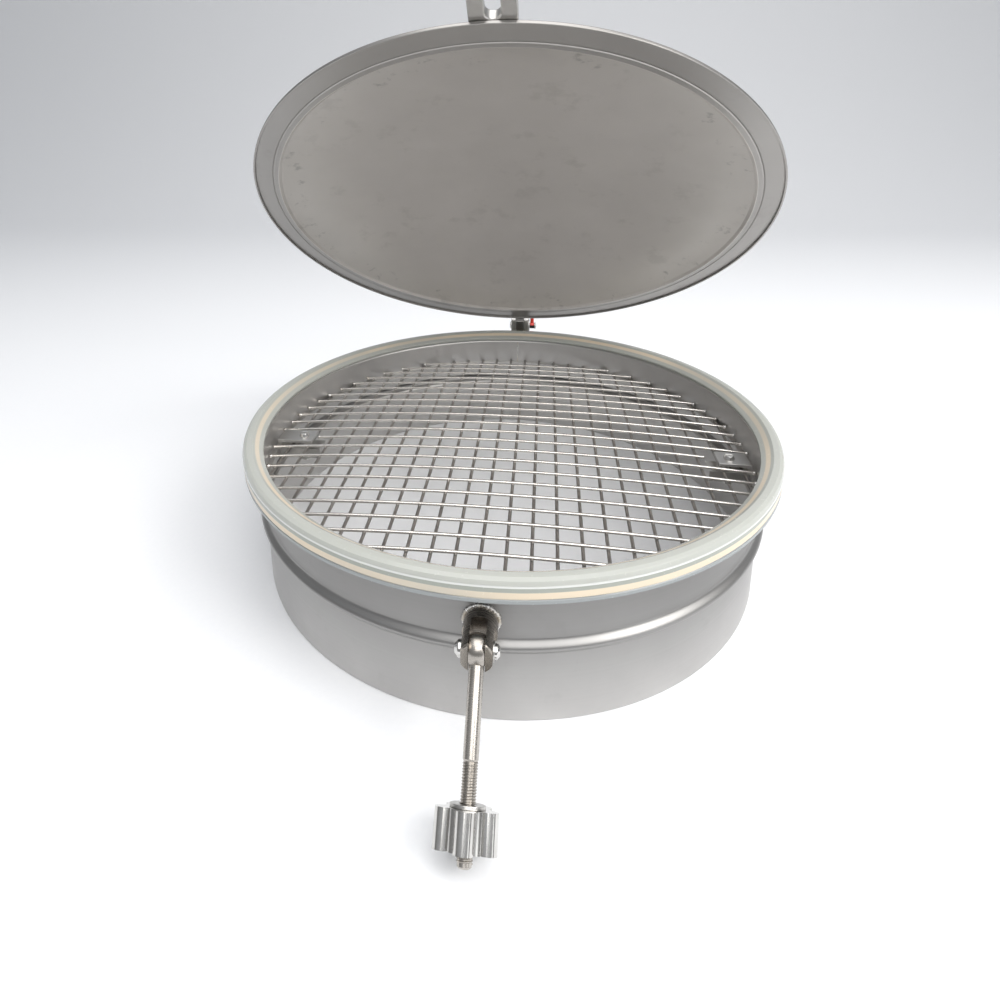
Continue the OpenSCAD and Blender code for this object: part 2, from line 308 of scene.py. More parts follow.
@dataclass(frozen=True)
class Weld:
    """A bright weld bead with heat colours beside its ripples."""

    name: str
    base: Colour
    tint: Colour
    ripple_scale: float = 260.0

    def build(self) -> bpy.types.Material:
        """Makes the material: ripples, straw-coloured patches and a fine crust."""
        s = Surface(self.name)
        p = s.place()
        heat = s.noise(p, 70.0, 3.0, 0.6).rise(0.45, 0.7)
        crust = s.noise(p, 900.0, 3.0, 0.6)
        ripples = s.noise(p, self.ripple_scale, 1.0, 0.4)
        colour = s.blend(heat * 0.7, self.base, self.tint)
        roughness = 0.26 + (crust - 0.5) * 0.2 + heat * 0.12
        return s.close(colour, roughness, ripples * 0.35 + crust * 0.05, MM, {"Metallic": 1.0})


@dataclass(frozen=True)
class Silicone:
    """Milky gasket rubber with a cream bead, a greenish neck above it, a painted highlight band above
    that and a pale skirt.
    """

    name: str
    lip: Colour
    # Painted highlight: the edge colour is the light band under the top's rounding.
    edge: Colour
    neck: Colour
    bead: Colour
    skirt: Colour
    outer_r: float = 0.2625
    skirt_z: float = 0.1190
    bead_z: float = 0.1248
    neck_z: float = 0.1282
    highlight_z: float = 0.1300

    def build(self) -> bpy.types.Material:
        """Makes the material: bands by height on the outside, one of them a painted highlight, a cream
        ring inside, clouds and dust.
        """
        s = Surface(self.name)
        p = s.place()
        x, y, z = s.split(p)
        radius = (x * x + y * y) ** 0.5
        clouds = s.noise(p, 14.0, 4.0, 0.55)
        dust = s.noise(p, 420.0, 3.0, 0.6).rise(0.6, 0.78)
        amber = s.noise(p, 5.0, 2.0).rise(0.36, 0.6)
        height = z + (clouds - 0.5) * 0.0012
        outside = radius.rise(self.outer_r - 0.0008, self.outer_r + 0.0008)
        inside = radius.band(0.2508, 0.2545, 0.0006) * z.rise(0.1285, 0.1295)
        # Painted highlight: the light band between the neck height and the top band, on the outside.
        colour = s.blend(outside * height.band(self.neck_z, self.highlight_z, 0.0003), self.lip, self.edge)
        colour = s.blend(outside * height.band(self.bead_z, self.neck_z, 0.0003), colour, self.neck)
        cream = outside * height.band(self.skirt_z, self.bead_z, 0.0003) * (0.45 + amber * 0.55)
        colour = s.blend(cream, colour, self.bead)
        colour = s.blend(inside * (0.5 + amber * 0.5), colour, self.bead)
        under = 1 - height.rise(self.skirt_z - 0.0003, self.skirt_z + 0.0003)
        colour = s.blend(under, colour, self.skirt)
        colour = s.blend(dust * 0.12, colour, (0.62, 0.60, 0.55))
        roughness = 0.20 + (clouds - 0.5) * 0.14 + dust * 0.2
        return s.close(colour, roughness, clouds * 0.05 + dust * 0.02, MM, {
            "Subsurface Weight": 0.3, "Subsurface Radius": (0.006, 0.006, 0.005),
            "Subsurface Scale": 1.0, "IOR": 1.41, "Specular IOR Level": 0.5})


@dataclass(frozen=True)
class Coating:
    """Paint or moulded plastic over the whole piece, worn lighter in patches."""

    name: str
    base: Colour
    worn: Colour
    roughness: float
    metallic: float = 0.0
    coat: float = 0.0

    def build(self) -> bpy.types.Material:
        """Makes the material: slow colour drift, scuffs and a faint orange-peel skin."""
        s = Surface(self.name)
        p = s.place()
        drift = s.noise(p, 60.0, 3.0)
        scuffs = s.noise(p, 380.0, 4.0, 0.7).rise(0.56, 0.75)
        peel = s.noise(p, 1500.0, 1.0)
        colour = s.blend(scuffs * 0.35 + (drift - 0.5) * 0.3 + 0.05, self.base, self.worn)
        roughness = self.roughness + scuffs * 0.2 + (drift - 0.5) * 0.08
        return s.close(colour, roughness, peel * 0.02, MM, {
            "Metallic": self.metallic, "Coat Weight": self.coat, "Coat Roughness": 0.12})


# ------------------------------------------------------------------ mesh tools
def rounded(corners: list[Point], closed: bool, arc_steps: int = 5) -> list[tuple[float, float]]:
    """Rounds the corners of an outline.

    Args:
        corners: Each corner as across, up and its radius.
        closed: Whether the outline joins up with its start.
        arc_steps: How many pieces an arc has.

    Returns:
        The outline's points.
    """
    points: list[tuple[float, float]] = []
    count = len(corners)
    for i, (x, y, radius) in enumerate(corners):
        here = Vector((x, y))
        if radius <= 0 or (not closed and i in (0, count - 1)):
            points.append((x, y))
            continue
        back = (Vector(corners[i - 1][:2]) - here).normalized()
        on = (Vector(corners[(i + 1) % count][:2]) - here).normalized()
        half = back.angle(on) / 2
        reach = radius / math.tan(half)
        centre = here + (back + on).normalized() * (radius / math.sin(half))
        first = here + back * reach - centre
        last = here + on * reach - centre
        sweep = first.angle_signed(last)
        for step in range(arc_steps + 1):
            turned = first.copy()
            turned.rotate(Matrix.Rotation(-sweep * step / arc_steps, 2))
            points.append(tuple(centre + turned))
    return points


class Form:
    """A mesh under construction that ends as one finished piece."""

    def __init__(self, name: str) -> None:
        """Starts an empty mesh of that name."""
        self.name = name
        self.bm = bmesh.new()

    def _join(self, part: bmesh.types.BMesh) -> None:
        """Adds a mesh made apart, which is quicker than growing a large one."""
        mesh = bpy.data.meshes.new("part")
        part.to_mesh(mesh)
        part.free()
        self.bm.from_mesh(mesh)
        bpy.data.meshes.remove(mesh)

    def revolve(self, outline: list[tuple[float, float]], sectors: int = 12, steps: int = 30,
                closed: bool = True, place: Matrix | None = None) -> "Form":
        """Spins an outline all round Z.

        Args:
            outline: Radius and height of each point, in metres.
            sectors: How many equal sectors the turn is made of.
            steps: How many pieces a sector has.
            closed: Whether the outline's last point joins its first.
            place: Where the turned shape goes.

        Returns:
            This form.
        """
        part = bmesh.new()
        ring = [bmesh.ops.create_vert(part, co=(r, 0.0, z))["vert"][0] for r, z in outline]
        pairs = list(zip(ring, ring[1:])) + ([(ring[-1], ring[0])] if closed else [])
        edges = [part.edges.new(pair) for pair in pairs]
        sector = math.tau / sectors
        bmesh.ops.spin(part, geom=ring + edges, cent=(0, 0, 0), axis=(0, 0, 1), angle=sector,
                       steps=steps)
        everything = part.verts[:] + part.edges[:] + part.faces[:]
        bmesh.ops.spin(part, geom=everything, cent=(0, 0, 0), axis=(0, 0, 1), angle=math.tau - sector,
                       steps=sectors - 1, use_duplicate=True)
        bmesh.ops.remove_doubles(part, verts=part.verts[:], dist=MERGE)
        bmesh.ops.recalc_face_normals(part, faces=part.faces[:])
        if place is not None:
            bmesh.ops.transform(part, matrix=place, verts=part.verts[:])
        self._join(part)
        return self

    def sweep(self, profile: list[Vector], centre: Vector, axis: Vector, angle: float, steps: int,
              rise: float = 0.0, copies: int = 1) -> "Form":
        """Carries a closed profile round an axis as a solid with both ends shut.

        Args:
            profile: The corners of the profile where it starts.
            centre: A point on the axis.
            axis: The axis's direction.
            angle: How far one length goes round, in radians.
            steps: How many pieces that takes.
            rise: How far that moves along the axis, in metres.
            copies: How many lengths follow each other.

        Returns:
            This form.
        """
        part = bmesh.new()
        corners = [bmesh.ops.create_vert(part, co=point)["vert"][0] for point in profile]
        edges = [part.edges.new(pair) for pair in zip(corners, corners[1:] + corners[:1])]
        step = axis.normalized() * (rise / steps)
        bmesh.ops.spin(part, geom=corners + edges, cent=centre, axis=axis, angle=angle,
                       steps=steps, dvec=step)
        if copies > 1:
            everything = part.verts[:] + part.edges[:] + part.faces[:]
            bmesh.ops.spin(part, geom=everything, cent=centre, axis=axis, angle=angle * (copies - 1),
                           steps=copies - 1, dvec=axis.normalized() * rise, use_duplicate=True)
            bmesh.ops.remove_doubles(part, verts=part.verts[:], dist=MERGE)
        bmesh.ops.holes_fill(part, edges=[e for e in part.edges if e.is_boundary], sides=0)
        bmesh.ops.recalc_face_normals(part, faces=part.faces[:])
        self._join(part)
        return self

    def bead(self, centre: Vector, radius: float, flat: float = 1.0,
             detail: tuple[int, int] = (8, 5)) -> "Form":
        """Adds a small ball, such as a weld ripple or a melted wire end.

        Args:
            centre: Its middle.
            radius: Its radius.
            flat: Its height as a share of its width.
            detail: How many pieces it has round and up.

        Returns:
            This form.
        """
        part = bmesh.new()
        place = Matrix.Translation(centre) @ Matrix.Diagonal((1.0, 1.0, flat, 1.0))
        bmesh.ops.create_uvsphere(part, u_segments=detail[0], v_segments=detail[1],
                                  radius=radius, matrix=place)
        self._join(part)
        return self

    def from_frame(self, node: bpy.types.Object) -> "Form":
        """Takes a merged copy of a frame node's mesh, with its flat faces made whole."""
        self.bm.from_mesh(node.data)
        bmesh.ops.remove_doubles(self.bm, verts=self.bm.verts[:], dist=FRAME_MERGE)
        bmesh.ops.dissolve_limit(self.bm, angle_limit=math.radians(0.5), use_dissolve_boundaries=False,
                                 verts=self.bm.verts[:], edges=self.bm.edges[:], delimit={"NORMAL"})
        return self

    def soften(self, width: float, segments: int = 3, sharper_than: float = 30.0) -> "Form":
        """Rounds the edges that are sharper than an angle in degrees."""
        limit = math.radians(sharper_than)
        edges = [e for e in self.bm.edges if e.is_manifold and e.calc_face_angle(0.0) > limit]
        bmesh.ops.bevel(self.bm, geom=edges, offset=width, offset_type="OFFSET", segments=segments,
                        profile=0.5, affect="EDGES", clamp_overlap=True, material=-1, loop_slide=True)
        return self

    def done(self, material: bpy.types.Material, body: str, slot: str, *nodes: str,
             crease: float = 40.0) -> bpy.types.Object:
        """Ends the piece and ties it to the frame.

        Args:
            material: Its finish.
            body: The frame body that it moves with.
            slot: The record's material slot; not used.
            nodes: The frame nodes that it stands for.
            crease: Edges sharper than this, in degrees, stay sharp.

        Returns:
            The finished object.
        """
        for face in self.bm.faces:
            face.smooth = True
        limit = math.radians(crease)
        for edge in self.bm.edges:
            edge.smooth = not (edge.is_manifold and edge.calc_face_angle(0.0) > limit)
        mesh = bpy.data.meshes.new(self.name)
        self.bm.to_mesh(mesh)
        self.bm.free()
        mesh.materials.append(material)
        piece = bpy.data.objects.new(self.name, mesh)
        bpy.context.scene.collection.objects.link(piece)
        weighted = piece.modifiers.new("even_shading", "WEIGHTED_NORMAL")
        weighted.keep_sharp = True
        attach(piece, body)
        if nodes:
            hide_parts(*nodes)
        log.info("%s: %d faces on %s", self.name, len(mesh.polygons), body)
        return piece


# ------------------------------------------------------------------ the finishes in use
@dataclass(frozen=True)
class Palette:
    """Every material of the hatch."""

    sheet: bpy.types.Material
    lid: bpy.types.Material
    wire: bpy.types.Material
    under_wire: bpy.types.Material
    machined: bpy.types.Material
    fork: bpy.types.Material
    polished: bpy.types.Material
    rod: bpy.types.Material
    weld: bpy.types.Material
    dark: bpy.types.Material
    red: bpy.types.Material
    silicone: bpy.types.Material

    @classmethod
    def mixed(cls) -> "Palette":
        """Makes all the materials."""
        return cls(
            # The satin sheet paints shade: the neck's outer wall darkens upwards, most just under the
            # gasket.
            sheet=Steel("satin_sheet", (0.66, 0.65, 0.635), (0.52, 0.51, 0.50), 0.40,
                        marks=Marks.ROUND_NECK, mark_scale=420.0, mark_depth=0.000004,
                        shade_r=0.2495, shade_low=-0.035, shade_high=0.112, painted_shade=0.80,
                        shade_and_grime_tone=(0.15, 0.148, 0.145)).build(),
            # The lid sheet paints shade on its flange, darkened beyond the radius; the grime specks near
            # the rim are dirt.
            lid=Steel("lid_sheet", (0.70, 0.67, 0.635), (0.57, 0.545, 0.515), 0.38, cloud_scale=6.0,
                      smudges=0.9, grain_depth=0.000008, hub=(0.0, 0.0708, 0.3238),
                      face=(0.0, 0.6428, 0.7660), shade_r=0.2465, painted_shade=0.65,
                      shade_and_grime_tone=(0.20, 0.195, 0.19), grime_r=0.244).build(),
            wire=Steel("bright_wire", (0.80, 0.77, 0.73), (0.60, 0.57, 0.53), 0.26, cloud_scale=60.0,
                       grain_depth=0.000004).build(),
            # Painted shade: a darker copy of the wire, for the lower wires and the weld spots.
            under_wire=Steel("wire_painted_shade", (0.44, 0.42, 0.40), (0.28, 0.265, 0.25), 0.36,
                             cloud_scale=60.0).build(),
            machined=Steel("machined_steel", (0.58, 0.57, 0.55), (0.42, 0.41, 0.39), 0.30,
                           cloud_scale=45.0).build(),
            fork=Steel("turned_fork", (0.46, 0.43, 0.39), (0.26, 0.235, 0.205), 0.26,
                       marks=Marks.ACROSS,
                       axis=(0.0, 1.0, 0.0), mark_scale=1500.0, mark_depth=0.00001,
                       cloud_scale=50.0).build(),
            polished=Steel("polished_steel", (0.70, 0.69, 0.67), (0.52, 0.51, 0.49), 0.16,
                           cloud_scale=50.0, grain_depth=0.000003).build(),
            rod=Steel("polished_rod", (0.56, 0.53, 0.49), (0.36, 0.335, 0.305), 0.27,
                      marks=Marks.ACROSS,
                      axis=(0.0, -0.7314, -0.682), mark_scale=1200.0, mark_depth=0.000001,
                      grain_depth=0.000003,
                      cloud_scale=30.0).build(),
            weld=Weld("weld_bead", (0.72, 0.71, 0.69), (0.46, 0.38, 0.27)).build(),
            dark=Coating("dark_hub", (0.035, 0.035, 0.036), (0.16, 0.16, 0.16), 0.42, 0.6).build(),
            red=Coating("red_grip", (0.62, 0.025, 0.012), (0.80, 0.16, 0.10), 0.34, 0.0,
                        0.3).build(),
            # The second colour is the painted highlight band.
            silicone=Silicone("milky_silicone", (0.44, 0.45, 0.42), (0.64, 0.65, 0.63),
                              (0.36, 0.38, 0.34),
                              (0.72, 0.62, 0.48), (0.30, 0.32, 0.325)).build())


# ------------------------------------------------------------------ sub-assemblies
@dataclass
class Neck:
    """The weld-in neck with its rolled bead, top flange, seat ring and seam."""

    palette: Palette
    wall_r: float = 0.250
    sheet: float = 0.002
    bead_mid: float = 0.067
    bead_high: float = 0.015
    bead_out: float = 0.005
    bend_r: float = 0.003
    bead_steps: int = 28
    seat_w: float = 0.005
    seam_angle: float = 89.3
    seam_r: float = 0.0011
    seam_proud: float = 0.00035
    seam_step: float = 0.0012

    def build(self) -> None:
        """Makes the wall, the seat ring and the inner seam."""
        _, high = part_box("neck_shell")
        self.top = high.z
        self.flange_r = high.x
        self._wall()
        self._seat_ring()
        self._seam()

    def bulge(self, z: float) -> float:
        """How far the bead stands out at a height."""
        away = abs(z - self.bead_mid) / self.bead_high
        return self.bead_out * (1 + math.cos(math.tau * away)) / 2 if away < 0.5 else 0.0

    def _side(self, radius: float) -> list[Point]:
        """The bead's line on a wall of that radius, from the bottom up."""
        low = self.bead_mid - self.bead_high / 2
        heights = [low + self.bead_high * i / self.bead_steps for i in range(self.bead_steps + 1)]
        return [(radius + self.bulge(z), z, 0.0) for z in heights]

    def _wall(self) -> None:
        """Revolves the neck's sheet."""
        inner = self.wall_r - self.sheet
        outline = [(inner, 0.0, 0.0004), (self.wall_r, 0.0, 0.0004), *self._side(self.wall_r),
                   (self.wall_r, self.top - self.sheet, self.bend_r - self.sheet),
                   (self.flange_r, self.top - self.sheet, 0.0004), (self.flange_r, self.top, 0.0004),
                   (inner, self.top, self.bend_r), *reversed(self._side(inner))]
        Form("neck_wall").revolve(rounded(outline, True)).done(
            self.palette.sheet, "neck", "satin_sheet", "neck_shell")

    def _seat_ring(self) -> None:
        """Revolves the flat bar that the grid rests on."""
        low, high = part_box("seat_ring")
        outer, inner = high.x, high.x - self.seat_w
        outline = [(inner, low.z, 0.0006), (outer, low.z, 0.0), (outer, high.z, 0.0),
                   (inner, high.z, 0.0009)]
        Form("seat_bar").revolve(rounded(outline, True, 3)).done(
            self.palette.sheet, "neck", "satin_sheet", "seat_ring")

    def _seam(self) -> None:
        """Lays the lengthwise weld down the inner wall, above the seat ring."""
        turn = math.radians(self.seam_angle)
        radius = self.wall_r - self.sheet + self.seam_r - self.seam_proud
        bottom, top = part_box("seat_ring")[1].z, self.top - self.bend_r
        form = Form("neck_seam")
        count = int((top - bottom) / self.seam_step)
        for i in range(count + 1):
            z = bottom + (top - bottom) * i / count
            form.bead(Vector((radius * math.cos(turn), radius * math.sin(turn), z)), self.seam_r)
        form.done(self.palette.weld, "neck", "weld_steel")


@dataclass
class Gasket:
    """The silicone profile clipped over the neck's flange."""

    palette: Palette
    lip_r: float = 0.247
    inner_wall_r: float = 0.248
    flange_r: float = 0.262
    flange_t: float = 0.002
    gap: float = PLAY
    foot_r: float = 0.254
    groove: float = 0.0008
    groove_z: float = 0.1192
    ridge_z: float = 0.1286
    ridge_out: float = 0.0003

    def build(self) -> None:
        """Revolves the profile with its fine ridge and groove."""
        low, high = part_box("rim_gasket")
        neck_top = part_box("neck_shell")[1].z
        outer, bottom, top = high.x, low.z, high.z
        lip, g = self.lip_r, self.groove
        outline = [
            (lip, neck_top + 0.0018, 0.0004), (self.inner_wall_r, neck_top + self.gap, 0.0003),
            (self.flange_r + self.gap, neck_top + self.gap, 0.0),
            (self.flange_r + self.gap, neck_top - self.flange_t - self.gap, 0.0),
            (self.foot_r, neck_top - self.flange_t - self.gap, 0.0),
            (self.foot_r, bottom + 0.0015, 0.0006),
            (self.foot_r + 0.002, bottom, 0.0008), (outer - 0.0008, bottom, 0.0005),
            (outer, bottom + 0.001, 0.0006),
            (outer, self.groove_z - g, 0.0002), (outer - g, self.groove_z, 0.0001),
            (outer, self.groove_z + g, 0.0002), (outer, self.ridge_z - 0.0007, 0.0002),
            (outer + self.ridge_out, self.ridge_z, 0.0002), (outer, self.ridge_z + 0.0007, 0.0002),
            (outer, top - 0.004, 0.0011), (outer - 0.0012, top - 0.0014, 0.0008),
            (outer - 0.004, top, 0.0015),
            (outer - 0.009, top, 0.0015),
            (lip + 0.003, neck_top + 0.0055, 0.002), (lip, neck_top + 0.0035, 0.0009)]
        Form("rim_seal").revolve(rounded(outline, True, 4)).done(
            self.palette.silicone, "neck", "silicone", "rim_gasket")


@dataclass
class Grid:
    """The crowned wire grid, its welded crossings and its two hold-down clips."""

    palette: Palette
    pitch: float = 0.020
    cross_pitch: float = 0.0194
    wire_r: float = 0.0015
    off_x: float = -0.006
    off_y: float = -0.002
    crown_r: float = 0.0
    neck_r: float = 0.250
    crown: float = 0.0115
    end_r: float = 0.2465
    cut_row: float = -0.0214
    end_blob: float = 0.0022
    cut_x: float = 0.200
    end_drawn: float = 0.0006
    end_melt: float = 1.18
    blob_in: float = 0.0007
    cross_margin: float = 0.002
    long_margin: float = 0.004
    sides: int = 12
    steps: int = 44

    def build(self) -> None:
        """Makes both sets of wires, their crossings and the clips."""
        self.crown_r = self.neck_r ** 2 / (2 * self.crown)
        self.cross_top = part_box("cross_wires")[1].z - self.wire_r
        self.long_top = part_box("long_wires")[1].z - self.wire_r
        self.across = self._rows(self.off_y, self.cross_pitch, self.cross_pitch)
        self.along = self._rows(self.off_x, self.pitch, self.long_margin)
        self._cross_wires()
        self._long_wires()
        self._crossings()
        self._end_welds()
        self._clips()

    def drop(self, x: float, y: float) -> float:
        """How far the crowned grid has fallen from its middle."""
        return (x * x + y * y) / (2 * self.crown_r)

    def _rows(self, offset: float, pitch: float, edge: float) -> list[float]:
        """Where the wires of one set lie, none of them closer to the seat's rim than edge."""
        count = int(self.neck_r / pitch)
        places = [offset + i * pitch for i in range(-count, count + 1)]
        return [v for v in places if abs(v) < self.end_r - edge]

    def _half(self, v: float) -> float:
        """Half the length of the wire that lies at v from the middle."""
        cut = abs(v - self.cut_row) < SAME
        return self.cut_x if cut else math.sqrt(self.end_r ** 2 - v * v)

    def _wire(self, form: Form, v: float, top: float, turn: Matrix) -> None:
        """Adds one crowned wire, its ends slightly drawn down and melted round.

        Args:
            form: The form that takes it.
            v: Its place across its own direction.
            top: The height of the crown's middle.
            turn: Turns the set about the neck axis.
        """
        half = self._half(v)
        reach = math.asin(half / self.crown_r)
        centre = Vector((0.0, v, top - self.drop(0.0, v) - self.crown_r))
        tip = Vector((-math.sin(reach), 0.0, math.cos(reach)))
        ring = [centre + tip * (self.crown_r + self.wire_r * math.cos(a))
                + Vector((0.0, self.wire_r * math.sin(a), 0.0))
                for a in (math.tau * i / self.sides for i in range(self.sides))]
        axis = turn @ Vector((0.0, 1.0, 0.0))
        form.sweep([turn @ p for p in ring], turn @ centre, axis, 2 * reach, self.steps)
        for side in (-1, 1):
            end = centre + Vector((side * math.sin(reach), 0.0, math.cos(reach))) * self.crown_r
            end.x -= side * self.end_drawn
            form.bead(turn @ end, self.wire_r * self.end_melt)

    def _cross_wires(self) -> None:
        """Makes the upper wires, which run across."""
        form = Form("grid_cross_wires")
        for v in self.across:
            self._wire(form, v, self.cross_top, Matrix.Identity(3))
        form.done(self.palette.wire, "neck", "bright_wire", "cross_wires")

    def _long_wires(self) -> None:
        """Makes the lower wires, which run from the bolt to the hinge."""
        form = Form("grid_long_wires")
        for u in self.along:
            self._wire(form, -u, self.long_top, Matrix.Rotation(math.pi / 2, 3, "Z"))
        # Painted shade: the lower wires take the darker copy of the wire.
        form.done(self.palette.under_wire, "neck", "bright_wire", "long_wires")

    def _crossings(self) -> None:
        """Adds the small fused spot where two wires are welded."""
        form = Form("grid_welds")
        middle = (self.cross_top + self.long_top) / 2
        for u in self.along:
            for v in self.across:
                if (abs(u) < self._half(v) - self.cross_margin
                        and abs(v) < self._half(u) - self.cross_margin):
                    form.bead(Vector((u, v, middle - self.drop(u, v))), self.wire_r, 0.6, (6, 4))
        # Painted shade: the weld spots take the darker copy of the wire.
        form.done(self.palette.under_wire, "neck", "bright_wire")

    def _end_welds(self) -> None:
        """Melts a bright blob over each cross wire's end, where it meets the seat."""
        form = Form("grid_end_welds")
        for i, v in enumerate(self.across):
            half = self._half(v)
            if half > self.cut_x - SAME and abs(v - self.cut_row) < SAME:
                continue
            for side in (-1, 1):
                swell = 1.0 + 0.18 * math.sin(4.1 * i + side)
                end = Vector((side * (half - self.blob_in), v, self.cross_top - self.drop(half, v)))
                form.bead(end, self.end_blob * swell, 0.85)
        form.done(self.palette.weld, "neck", "weld_steel")

    def _clips(self) -> None:
        """Dresses the hold-down plates, lugs, screws and nuts."""
        for node, name, finish, slot, width in (
                ("clip_plates", "hold_down_plates", self.palette.sheet, "satin_sheet", 0.0006),
                ("clip_lugs", "hold_down_lugs", self.palette.machined, "machined_steel", 0.0008),
                ("clip_screws", "hold_down_screws", self.palette.polished, "polished_steel", 0.0003),
                ("clip_nuts", "hold_down_nuts", self.palette.machined, "machined_steel", 0.0004)):
            dress(node, name, finish, slot, width, "neck")


@dataclass
class Closure:
    """The swing bolt at the front: welded fork, pin, eye bolt and star knob."""

    palette: Palette
    neck_r: float = 0.250
    pivot: Point = (0.0, -0.2768, 0.0875)
    drop: float = math.radians(43)
    fork_r: float = 0.0125
    weld_r: float = 0.0014
    weld_ripples: int = 62
    pin_r: float = 0.005
    flat_x: float = 0.0106
    head_r: float = 0.0058
    head_t: float = 0.005
    ring_r: float = 0.0066
    ring_t: float = 0.0012
    eye_r: float = 0.0105
    eye_t: float = 0.0108
    rod_r: float = 0.005
    rod_len: float = 0.112
    thread_from: float = 0.060
    pitch: float = 0.0015
    thread_depth: float = 0.0006
    washer_from: float = 0.082
    washer_t: float = 0.002
    washer_r: float = 0.011
    washer_play: float = 0.0003
    pin_out: float = 0.0038

    def build(self) -> None:
        """Makes the fork and its weld, the pin and its ring, the bolt and the knob."""
        self.along_bolt = (Matrix.Translation(self.pivot)
                           @ Matrix.Rotation(math.pi / 2 + self.drop, 4, "X"))
        self.along_pin = Matrix.Translation(self.pivot) @ Matrix.Rotation(math.pi / 2, 4, "Y")
        dress("bolt_fork", "closure_fork", self.palette.fork, "machined_steel", 0.0006, "neck")
        self._root_weld()
        self._pin()
        self._eye_bolt()
        dress("star_knob", "closure_knob", self.palette.polished, "polished_steel", 0.0016,
              "knob", 4)
        washer = [(self.rod_r + self.washer_play, 0.0, 0.0002), (self.washer_r, 0.0, 0.0004),
                  (self.washer_r, self.washer_t, 0.0004),
                  (self.rod_r + self.washer_play, self.washer_t, 0.0002)]
        Form("closure_washer").revolve(
            rounded(washer, True, 2), 8, 8,
            place=self.along_bolt @ Matrix.Translation((0, 0, self.washer_from))).done(
            self.palette.machined, "knob", "machined_steel", "knob_washer")

    def _root_weld(self) -> None:
        """Stacks weld ripples round the fork where it meets the neck."""
        form = Form("closure_weld")
        radius = self.fork_r + self.weld_r * 0.35
        for i in range(self.weld_ripples):
            turn = math.tau * i / self.weld_ripples
            x, z = radius * math.cos(turn), self.pivot[2] + radius * math.sin(turn)
            swell = 1.0 + 0.2 * math.sin(2.7 * i) + 0.14 * math.sin(5.3 * i)
            y = -math.sqrt(self.neck_r ** 2 - x * x) - self.weld_r * 0.3
            form.bead(Vector((x, y, z)), self.weld_r * swell)
        form.done(self.palette.weld, "neck", "weld_steel", "fork_collar")

    def _pin(self) -> None:
        """Revolves the pin with its domed heads, and the ring under the right one."""
        x, head, left = self.flat_x, self.head_r, -self.flat_x - self.head_t
        right = x + self.ring_t
        tip = right + self.pin_out
        outline = [(0.0, left, 0.0), (head - 0.0026, left + 0.0002, 0.0012),
                   (head, left + 0.0027, 0.0015),
                   (head, -x, 0.0003), (self.pin_r, -x, 0.0), (self.pin_r, tip - 0.002, 0.001),
                   (self.pin_r - 0.0022, tip - 0.0001, 0.001), (0.0, tip, 0.0)]
        Form("closure_pin").revolve(rounded(outline, False), 8, 9, False, self.along_pin).done(
            self.palette.polished, "neck", "polished_steel", "fork_pin")
        ring = [(self.pin_r, x, 0.0002), (self.ring_r, x, 0.0004), (self.ring_r, right, 0.0004),
                (self.pin_r, right, 0.0002)]
        Form("closure_pin_ring").revolve(rounded(ring, True, 3), 8, 8, place=self.along_pin).done(
            self.palette.machined, "neck", "machined_steel", "fork_pin_ring")

    def _eye_bolt(self) -> None:
        """Makes the ball-shaped eye, the rod and its thread as one piece."""
        form = Form("closure_bolt")
        half, bore = self.eye_t / 2, self.pin_r + PLAY
        flat = math.sqrt(self.eye_r ** 2 - half * half)
        tilt = math.atan2(half, flat)
        arc = [(self.eye_r * math.cos(tilt * i / 8), self.eye_r * math.sin(tilt * i / 8), 0.0)
               for i in range(-7, 8)]
        eye = [(bore, -half, 0.0004), (flat, -half, 0.0005), *arc, (flat, half, 0.0005),
               (bore, half, 0.0004)]
        form.revolve(rounded(eye, True, 3), 8, 12, place=self.along_pin)
        r, end = self.rod_r, self.rod_len
        core = r - self.thread_depth
        rod = [(0.0, self.eye_r - 0.0035, 0.0), (r, self.eye_r - 0.0035, 0.0),
               (r, self.thread_from, 0.0003), (core, self.thread_from + 0.001, 0.0003),
               (core, end - 0.001, 0.0002), (core - 0.0012, end, 0.0002), (0.0, end, 0.0)]
        form.revolve(rounded(rod, False), 8, 9, False, self.along_bolt)
        self._thread(form)
        form.done(self.palette.rod, "swing_bolt", "polished_steel", "eye_bolt")

    def _thread(self, form: Form) -> None:
        """Winds the thread round the rod's outer half."""
        turns = int((self.rod_len - 0.0015 - self.thread_from) / self.pitch)
        core, crest = self.rod_r - self.thread_depth - 0.0002, self.rod_r - 0.00003
        half = self.pitch / 2
        profile = [(core, -half * 0.98), (crest, -half * 0.14), (crest, half * 0.14),
                   (core, half * 0.98)]
        start = self.thread_from + self.pitch
        turn = self.along_bolt.to_3x3()
        form.sweep([self.along_bolt @ Vector((r, 0.0, start + s)) for r, s in profile],
                   Vector(self.pivot),
                   turn @ Vector((0.0, 0.0, 1.0)), math.tau, 24, self.pitch, turns - 1)


